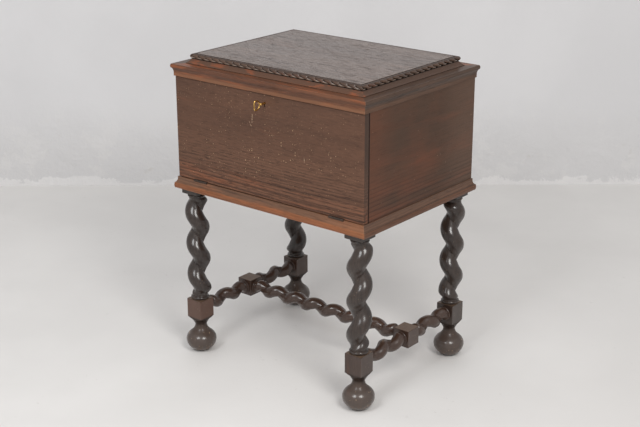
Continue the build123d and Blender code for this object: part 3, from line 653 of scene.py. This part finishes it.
sides = Oak(
    "Side_oak", along=Y, seed=2.2,
    dark=tone(68, 50, 39), middle=tone(74, 54, 42), warm=tone(88, 56, 41), warmth=(0.5, 0.75),
)
redder = sides.between(sides.noise(sides.place, 5, 3), 0.45, 0.7)
redder = redder.math("MAXIMUM", sides.between(sides.y, -60.0, -180.0))
sides.tint(tone(108, 62, 42), redder * 0.35)
sides.tint(tone(112, 88, 74), sides.between(sides.y, 60.0, 200.0) * 0.3)
specks = sides.scatter(sides.y, sides.z, scale=0.09, share=0.03, size=0.1)
sides.tint(tone(190, 160, 130), specks * 0.4)
inside = bare_inside(sides)
ring_strength = sides.between(sides.z, 570.0, 480.0) * 0.38 + inside * 0.3 + 0.03
sides.rings(sides.z, spacing=10.5, warp=5.0, strength=ring_strength)
sides.pores(inside * 0.3 + 0.25)
# A painted shadow darkens the side's front edge, in the gap behind the fall front.
painted_gap_shadow = sides.between(sides.y, SIDE_FRONT_Y + 2.4, SIDE_FRONT_Y + 0.9)
sides.tint(tone(22, 17, 15), painted_gap_shadow * 0.8)
side_oak = sides.wax(roughness=0.44, coat=0.1, coat_roughness=0.25)
paint(["side_panel_left", "side_panel_right"], side_oak, "side_oak")
paint(["back_panel"], side_oak, "inner_oak")

inner = Oak(
    "Inner_oak", along=X, seed=9.1,
    dark=tone(112, 88, 64), middle=tone(134, 106, 78), warm=tone(140, 100, 66),
)
inner.rings(inner.y, spacing=8.0, warp=3.0, strength=0.35)
inner.pores(0.5)
inner_oak = inner.wax(roughness=0.6, coat=0.05, coat_roughness=0.4)
paint(["bottom_board", "ceiling_board"], inner_oak, "inner_oak")


# ----------------------------------------------------------------- fall front
# One wide oak board on two hinges along its foot. It has the marks of use:
# pale chips and specks all over, and a few scratches, most near the keyhole.
front = Oak(
    "Front_oak", along=X, seed=6.3,
    dark=tone(82, 58, 46), middle=tone(92, 65, 51), warm=tone(104, 68, 50), warmth=(0.58, 0.8),
)
end_grain = front.between(abs(front.split(front.normal())[X]), 0.8, 0.95)
front.tint(tone(56, 45, 39), end_grain * 0.75)
lower_half = front.between(front.z, 610.0, 500.0)
at_foot = front.between(front.z, 520.0, 465.0)
front.tint(tone(120, 86, 67), lower_half * 0.3)
glow = front.between(front.noise(front.drawn(0.08), 55, 4, 0.6, 0.4), 0.48, 0.66)
front.tint(tone(152, 86, 54), at_foot * (glow * 0.28 + 0.06))
bare_inside(front)
front.rings(front.z, spacing=7.5, warp=4.5, strength=lower_half * 0.42 + 0.03)
front.rings(front.z, spacing=14.5, warp=5.5, strength=at_foot * 0.5)
front.strokes(scale=170, factor=0.06, strength=lower_half * 0.3)
front.strokes(scale=420, factor=0.1, strength=lower_half * 0.3 + 0.2)
front.pores(0.3)
off_middle = abs(front.x + 30.0) * 0.5 + abs(front.z - 575.0) * 1.4
worn = front.between(front.noise(front.place, 11, 3), 0.42, 0.62, 0.3, 1.0)
worn = worn * front.between(off_middle, 260.0, 60.0, 0.35, 1.0)
specks = front.scatter(front.x, front.z, scale=0.15, share=0.14, size=0.15)
finer = front.scatter(front.x, front.z, scale=0.33, share=0.08, size=0.2)
specks = specks.math("MAXIMUM", finer * 0.6)
front.tint(tone(226, 192, 150), specks * worn * 0.9)


def scratch(x, z, length, lean):
    """A pale scratch down the board, broken along its length."""
    off = abs(front.x - x - (front.z - z) * lean)
    mark = front.between(off, 0.7, 1.6, 1.0, 0.0)
    mark = mark * front.between(abs(front.z - z), length / 2, length / 2 + 2.0, 1.0, 0.0)
    broken = front.between(front.noise(front.place, 500, 3), 0.35, 0.6)
    front.tint(tone(176, 150, 124), mark * broken * 0.7)


scratch(x=-38.0, z=634.0, length=18.0, lean=0.05)
scratch(x=-44.0, z=621.0, length=8.0, lean=-0.6)
scratch(x=112.0, z=566.0, length=8.0, lean=-0.1)
paint(["fall_front"], front.wax(roughness=0.46, coat=0.12, coat_roughness=0.3), "front_oak")


# ------------------------------------------------------------------ ironwork
# Wrought hinges nailed under the fall front, and the iron box lock let into
# it, with its strike plate in the cornice. All of it is browned with age.
iron = Finish("Iron")
rust = iron.between(iron.noise(iron.place, 160, 4), 0.45, 0.7)
iron.set(
    Base_Color=iron.mix(tone(70, 61, 55), tone(70, 50, 38), rust),
    Metallic=0.8 - rust * 0.6,
    Roughness=rust * 0.3 + 0.42,
    Normal=iron.bump(iron.noise(iron.place, 700, 3), 0.3, 0.0004),
)
paint(["hinge_case_leaf_left", "hinge_case_leaf_right"], iron.material, "hinge_iron")
paint(["hinge_flap_leaf_left", "hinge_flap_leaf_right"], iron.material, "hinge_iron")
paint(["lock_case", "lock_cover", "lock_bolt", "strike_plate"], iron.material, "lock_iron")
nail_sets = ["hinge_case", "hinge_flap", "lock", "strike", "stay_flap", "stay_case"]
paint([f"{carrier}_nails" for carrier in nail_sets], iron.material, "nail_iron")


# ----------------------------------------------------------------------- key
# A cast and filed brass key standing in the lock. Its bow is flat at the far
# end and round towards the collar.
low, high = bounds_of("key")
KEY_FRONT_Y = low.y
KEY_Z = (low.z + high.z) / 2
SHANK_END_Y = high.y - 0.5
BIT_START_Y = high.y - 11.2
BIT_LENGTH = 4.2
KEY_SIDES = 32
BOW_RIM = 1.6                  # radius of the bow's round rim
BOW_FLAT = 5.4                 # reach of the bow to its flat end
BOW_ROUND = 11.9               # reach of the bow to its round end
BOW_HALF_HEIGHT = 10.6
BOW_SQUARENESS = 0.6           # power that flattens its far end
BOW_STEPS = 48
RIM_STEPS = 16
COLLAR_RADIUS = 3.4
SHANK_RADIUS = 2.6
BIT_HALF = 0.9                 # half the thickness of the bit
BIT_DROP = 4.5                 # middle of the bit from the shank's axis
BIT_STRETCH = 5.0              # times as tall as it is thick

brass = Finish("Brass")
dull = brass.between(brass.noise(brass.place, 300, 4), 0.4, 0.7)
brass.set(
    Base_Color=brass.mix(tone(222, 182, 106), tone(140, 104, 56), dull),
    Metallic=1.0,
    Roughness=dull * 0.2 + 0.22,
    Normal=brass.bump(brass.noise(brass.place, 900, 3), 0.2, 0.0003),
)

bow_y = KEY_FRONT_Y + BOW_FLAT + BOW_RIM
bow = []
for k in range(BOW_STEPS):
    turn = 2 * pi * k / BOW_STEPS
    inwards = cos(turn)
    reach = BOW_ROUND * inwards if inwards > 0 else -BOW_FLAT * abs(inwards) ** BOW_SQUARENESS
    middle = Vector((0, bow_y + reach, KEY_Z + BOW_HALF_HEIGHT * sin(turn)))
    outward = Vector((0, cos(turn), sin(turn)))
    section = []
    for j in range(RIM_STEPS):
        angle = 2 * pi * j / RIM_STEPS
        section.append(middle + (outward * cos(angle) + Vector((sin(angle), 0, 0))) * BOW_RIM)
    bow.append(section)
made = Piece()
made.loft(bow + [bow[0]], capped=False)
along_y = Matrix.Translation((0, 0, KEY_Z)) @ Matrix.Rotation(-pi / 2, 4, "X")
neck_y = bow_y + BOW_ROUND + 0.5
turned = [(0.0, BOW_RIM), (1.5, 2.4), (2.4, COLLAR_RADIUS), (3.6, COLLAR_RADIUS), (4.4, SHANK_RADIUS)]
shank = [ring(neck_y + reach, radius, KEY_SIDES) for reach, radius in turned]
made.loft(shank + [ring(SHANK_END_Y, SHANK_RADIUS, KEY_SIDES)], along_y)
bit = [square(BIT_START_Y, BIT_HALF), square(BIT_START_Y + BIT_LENGTH, BIT_HALF)]
made.loft([[(px, py * BIT_STRETCH + BIT_DROP, pz) for px, py, pz in points] for points in bit], along_y)
made.make("Key", brass.material, "key", "key_brass", "key")


# ---------------------------------------------------------------- flap stays
# A brass rod on each side turns on a lug of the fall front. It slides through
# a swivel on the case's side and stops there, so that the open front is level.
for stay in ("stay_rod", "stay_swivel", "stay_flap_lug", "stay_case_plate"):
    paint([f"{stay}_left", f"{stay}_right"], brass.material, "stay_brass")


# -------------------------------------------------------------- rope moulding
# Four mitred oak strips round the raised top: a cavetto below a bead carved as
# a rope, the same lay all the way round, with a plain band left along its top.
low, high = bounds_of("fall_front")
CASE_FRONT_Y = low.y
CASE_BACK_Y = bounds_of("back_panel")[1].y
CASE_MIDDLE_Y = (CASE_FRONT_Y + CASE_BACK_Y) / 2
HALF_WIDTH = high.x
HALF_DEPTH = (CASE_BACK_Y - CASE_FRONT_Y) / 2
low, high = bounds_of("rope_moulding_front")
CORNICE_TOP = low.z
CAVETTO_FILLET = 1.2
CAVETTO_FLARE = 7.0            # from its foot in to the rope's outer side
CAVETTO_WIDTH = 10.6
CAVETTO_HEIGHT = 10.4
CAVETTO_CURVE = 1.35           # power of its hollow
CAVETTO_STEPS = 6
ROPE_RADIUS = 5.5
ROPE_Z = high.z - ROPE_RADIUS
ROPE_PITCH = 21.6
# A strip's foot and back, and the rope's outer side, outwards from the case's side.
STRIP_OUT = high.x - HALF_WIDTH
STRIP_IN = bounds_of("top_panel")[1].x - HALF_WIDTH
ROPE_OUT = STRIP_OUT - CAVETTO_FLARE
ROPE_COLUMN = 1.0              # between slices along a strip
BEAD_START = radians(-84)      # from under the rope, round its outer side
BEAD_SWEEP = radians(231)      # and over to its back
BEAD_SLICES = 21
GROOVE_LEAN = 0.6              # how fast the cuts run along as they go down
GROOVE_CURL = 0.42             # and how much faster near the rope's underside
GROOVE_DEPTH = 4.4
GROOVE_SHAPE = 2.2             # power of the strand's round back
GROOVE_END = radians(66)       # angle up the rope's outer side where the cuts end
GROOVE_FADE = radians(32)


def groove(run, angle, length):
    """How deep the rope is cut there."""
    down = 1.0 - angle
    lay = ROPE_RADIUS * (GROOVE_LEAN * down + GROOVE_CURL * max(0.0, down) ** 2)
    phase = (run - lay) * round(length / ROPE_PITCH) / length + 0.5
    off = abs(phase % 1.0 - 0.5) * 2
    fade = max(0.0, min(1.0, (GROOVE_END - angle) / GROOVE_FADE))
    return GROOVE_DEPTH * (1 - (1 - 0.99 * off ** GROOVE_SHAPE) ** 0.5) * fade


def rope_strip(side, turn, reach, half_length):
    """One strip, reach out from the middle of the case, drawn on its front side."""
    place = Matrix.Translation((0, CASE_MIDDLE_Y, 0)) @ Matrix.Rotation(turn, 4, "Z")
    length = 2 * (half_length + ROPE_OUT)
    foot_z = CORNICE_TOP + CAVETTO_FILLET
    section = [(STRIP_IN, CORNICE_TOP, None), (STRIP_OUT, CORNICE_TOP, None), (STRIP_OUT, foot_z, None)]
    for step in range(1, CAVETTO_STEPS + 1):
        share = step / CAVETTO_STEPS
        hollow = CAVETTO_HEIGHT * share ** CAVETTO_CURVE
        section.append((STRIP_OUT - CAVETTO_WIDTH * share, foot_z + hollow, None))
    for step in range(BEAD_SLICES + 1):
        angle = BEAD_START + BEAD_SWEEP * step / BEAD_SLICES
        section.append((ROPE_OUT - ROPE_RADIUS, ROPE_Z, angle))
    section.append((STRIP_IN, ROPE_Z + ROPE_RADIUS, None))
    columns = round(length / ROPE_COLUMN)
    rows = []
    for i in range(columns + 1):
        along = (2 * i / columns - 1) * (half_length + STRIP_OUT)
        row = []
        for out, z, angle in section:
            if angle is not None:
                radius = ROPE_RADIUS - groove(along, angle, length)
                out, z = out + radius * cos(angle), z + radius * sin(angle)
            mitre = half_length + out
            row.append(place @ Vector((max(-mitre, min(mitre, along)), -reach - out, z)))
        rows.append(row)
    made = Piece()
    made.grid(rows)
    name = f"rope_moulding_{side}"
    made.make(name.capitalize(), rope_oak, "cabinet", "rope_oak", name, sharp=60)


rope = Oak(
    "Rope_oak", along=X, seed=8.4,
    dark=tone(62, 45, 35), middle=tone(80, 58, 44), warm=tone(118, 68, 46),
)
rope.pores(0.25)
# Below the bead the strip is as red as the cornice in front, and browner elsewhere.
height = rope.z - ROPE_Z
below = rope.between(height, -4.7, -6.7)
patchy = rope.between(rope.noise(rope.drawn(0.3), 75, 4, 0.6), 0.5, 0.64)
red = rope.mix(tone(92, 64, 49), tone(142, 78, 47), patchy)
rope.tint(rope.mix(tone(72, 55, 46), red, rope.between(rope.y, -150.0, -190.0)), below * 0.9)
# Painted highlights make pale tails where the strands end, over a painted shadow
# on the lip, and dark paint fills the cuts as dirt and painted shade.
painted_tail_highlights = rope.band(height, -4.6, -3.8, -2.6, -1.6)
rope.tint(tone(168, 150, 136), painted_tail_highlights * 0.6)
# A painted shadow lies on the lip under the bead, and the cuts darken by occlusion, as dirt and painted
# shade.
painted_lip_shadow = rope.band(height, -6.6, -6.0, -5.2, -4.4)
hollow = rope.node("ShaderNodeAmbientOcclusion", {"samples": 8}, {"Distance": 0.003}, "AO")
rope.tint(tone(14, 10, 9), rope.between(hollow, 0.92, 0.5).math("MAXIMUM", painted_lip_shadow) * 0.92)
plain_band = rope.between(height, 3.6, 4.4)
rope.tint(tone(56, 44, 38), plain_band * 0.8)
polish = (1.0 - below) * (1.0 - plain_band * 0.85) * 0.75 + 0.1
rope_oak = rope.wax(roughness=0.38, coat=polish, coat_roughness=0.2, dent=0.1)
rope_strip("front", 0, HALF_DEPTH, HALF_WIDTH)
rope_strip("right", pi / 2, HALF_WIDTH, HALF_DEPTH)
rope_strip("back", pi, HALF_DEPTH, HALF_WIDTH)
rope_strip("left", 3 * pi / 2, HALF_WIDTH, HALF_DEPTH)


# ------------------------------------------------------------------ top panel
# The raised top, one figured oak board inside the rope, waxed to a grey sheen
# and crossed by old scratches.
top = Oak(
    "Top_oak", along=X, seed=12.6,
    dark=tone(78, 60, 50), middle=tone(94, 74, 62), warm=tone(106, 78, 62),
)
top.rings(top.y, spacing=14.0, warp=9.0, strength=0.25)
top.strokes(scale=300, factor=0.18, strength=0.45, depth=1.8)
top.strokes(scale=140, factor=0.12, strength=0.34, depth=2.0)
wander = top.noise(top.place, 4.5, 1.5, 0.4)
scratches = top.between(abs(wander - 0.5), 0.0, 0.0055, 1.0, 0.0)
scratches = scratches * top.between(top.noise(top.place, 11, 2), 0.42, 0.56)
top.tint(tone(28, 21, 19), scratches * 0.8)
top.pits = top.pits + scratches * 0.6
specks = top.scatter(top.x, top.y, scale=0.06, share=0.05, size=0.12)
top.tint(tone(196, 176, 156), specks * 0.7)
top_oak = top.wax(roughness=0.4, coat=0.74, coat_roughness=0.24, dent=0.5, specular=0.25)
paint(["top_panel"], top_oak, "top_oak")


# ------------------------------------------------------------- floor and wall
# A pale painted floor, and a plastered wall behind that is patched and rough
# at its foot. Both are laid out in metres, square to the camera's view.
CAMERA = Vector((1.82323, -2.23915, 1.38865))
AZIMUTH = radians(39.2104)
WALL_FROM_CAMERA = 4.21
FLOOR_BEHIND_CAMERA = 4.0
ROOM_HALF_WIDTH = 6.0
ROOM_HEIGHT = 5.0
ahead = Vector((-sin(AZIMUTH), cos(AZIMUTH), 0))
right = Vector((cos(AZIMUTH), sin(AZIMUTH), 0))


def surface(name, distance, up, finish):
    """A flat sheet across the room, that far from the camera, with up for its height."""
    start = Vector((CAMERA.x, CAMERA.y, 0)) - right * ROOM_HALF_WIDTH + ahead * distance
    across = right * (2 * ROOM_HALF_WIDTH)
    mesh = bpy.data.meshes.new(name)
    mesh.from_pydata([start, start + across, start + across + up, start + up], [], [(0, 1, 2, 3)])
    mesh.materials.append(finish.material)
    made = bpy.data.objects.new(name, mesh)
    bpy.context.scene.collection.objects.link(made)


floor = Finish("Floor")
cloud = floor.between(floor.noise(floor.place, 2.2, 4), 0.35, 0.65)
colour = floor.mix(tone(211, 209, 207), tone(216, 214, 212), cloud)
# Painted shade darkens the floor towards the back right, where less lamp light reaches.
painted_falloff_shade = floor.between(floor.x, 100.0, 1100.0) * floor.between(floor.y, -1600.0, -100.0)
colour = floor.mix(colour, tone(193, 190, 188), painted_falloff_shade * 0.75)
scuffed = floor.between(floor.noise(floor.place, 55, 5, 0.7), 0.6, 0.72)
scuffed = scuffed * floor.between(floor.noise(floor.place, 3.5, 2), 0.5, 0.6)
colour = floor.mix(colour, tone(176, 172, 168), scuffed * 0.35)
floor.set(Base_Color=colour, Roughness=0.55)
surface("Floor", -FLOOR_BEHIND_CAMERA, ahead * (FLOOR_BEHIND_CAMERA + WALL_FROM_CAMERA), floor)

wall = Finish("Wall")
cloud = wall.between(wall.noise(wall.place, 1.6, 5), 0.35, 0.65)
colour = wall.mix(tone(202, 201, 202), tone(207, 206, 207), cloud)
foot_of_wall = wall.between(wall.z, 340.0, 100.0)
colour = wall.mix(colour, tone(190, 188, 187), foot_of_wall * 0.35)
flakes = wall.between(wall.noise(wall.place, 9, 6, 0.7), 0.52, 0.57) * foot_of_wall
colour = wall.mix(colour, tone(212, 210, 208), flakes * 0.25)
dirt = wall.between(wall.noise(wall.place, 24, 4), 0.66, 0.74) * wall.between(wall.z, 400.0, 100.0)
colour = wall.mix(colour, tone(176, 170, 162), dirt * 0.25)
ragged = wall.between(wall.noise(wall.place, 7, 5, 0.7), 0.4, 0.6, 4.0, 30.0)
bare_edge = wall.between(wall.z - ragged, 8.0, 0.0)
colour = wall.mix(colour, tone(226, 224, 223), bare_edge * 0.45)
lumps = wall.noise(wall.place, 14, 7, 0.65) * (foot_of_wall + 0.1) + wall.noise(wall.place, 3, 4) * 0.4
behind = wall.node("ShaderNodeNewGeometry", out="Backfacing")
wall.set(Base_Color=colour, Roughness=0.8, Alpha=1.0 - behind, Normal=wall.bump(lumps, 0.5, 0.012))
surface("Wall", WALL_FROM_CAMERA, Vector((0, 0, ROOM_HEIGHT)), wall)


# ---------------------------------------------------------------------- lamps
# Two soft round lamps high up, one on either side of the camera and both
# turned to the middle of the cabinet, in a bright room. Places are in metres.
LAMP_DISTANCE = 2.5
LAMP_HEIGHT = 2.42
LAMP_SIZE = 1.1
CABINET_MIDDLE = Vector((0, 0, 0.35))


def lamp(name, sideways, power, colour):
    """A lamp sideways by that many degrees from the camera, seen from the cabinet."""
    light = bpy.data.lights.new(name, "AREA")
    light.shape = "DISK"
    light.size = LAMP_SIZE
    light.energy = power
    light.color = colour
    angle = radians(sideways)
    spot = (right * sin(angle) - ahead * cos(angle)) * LAMP_DISTANCE + Vector((0, 0, LAMP_HEIGHT))
    aim = (CABINET_MIDDLE - spot).to_track_quat("-Z", "Y").to_matrix().to_4x4()
    made = bpy.data.objects.new(name, light)
    bpy.context.scene.collection.objects.link(made)
    made.matrix_world = Matrix.Translation(spot) @ aim


lamp("Left_lamp", sideways=-33, power=39, colour=(0.97, 0.985, 1.0))
lamp("Right_lamp", sideways=22, power=51, colour=(1.0, 0.99, 0.97))
world = bpy.data.worlds.new("Room")
bpy.context.scene.world = world
world.use_nodes = True
room_light = world.node_tree.nodes["Background"].inputs
room_light["Color"].default_value = (1.0, 0.995, 0.99, 1.0)
room_light["Strength"].default_value = 0.72


# --------------------------------------------------------------------- camera
# A long lens, a little above the cabinet's top and turned down to it. Lens and
# sensor are in millimetres, and its place is in metres.
RISE = radians(19.5249)
ROLL = radians(-0.1103)
camera = bpy.data.objects.new("Camera", bpy.data.cameras.new("Camera"))
camera.data.lens = 72.366
camera.data.sensor_width = 36.0
camera.data.clip_end = 50.0
back = Vector((0, 0, sin(RISE))) - ahead * cos(RISE)
turned = Matrix((right, back.cross(right), back)).transposed().to_4x4()
camera.matrix_world = Matrix.Translation(CAMERA) @ turned @ Matrix.Rotation(ROLL, 4, "Z")
bpy.context.scene.collection.objects.link(camera)
bpy.context.scene.camera = camera
bpy.context.scene.view_settings.view_transform = "Standard"
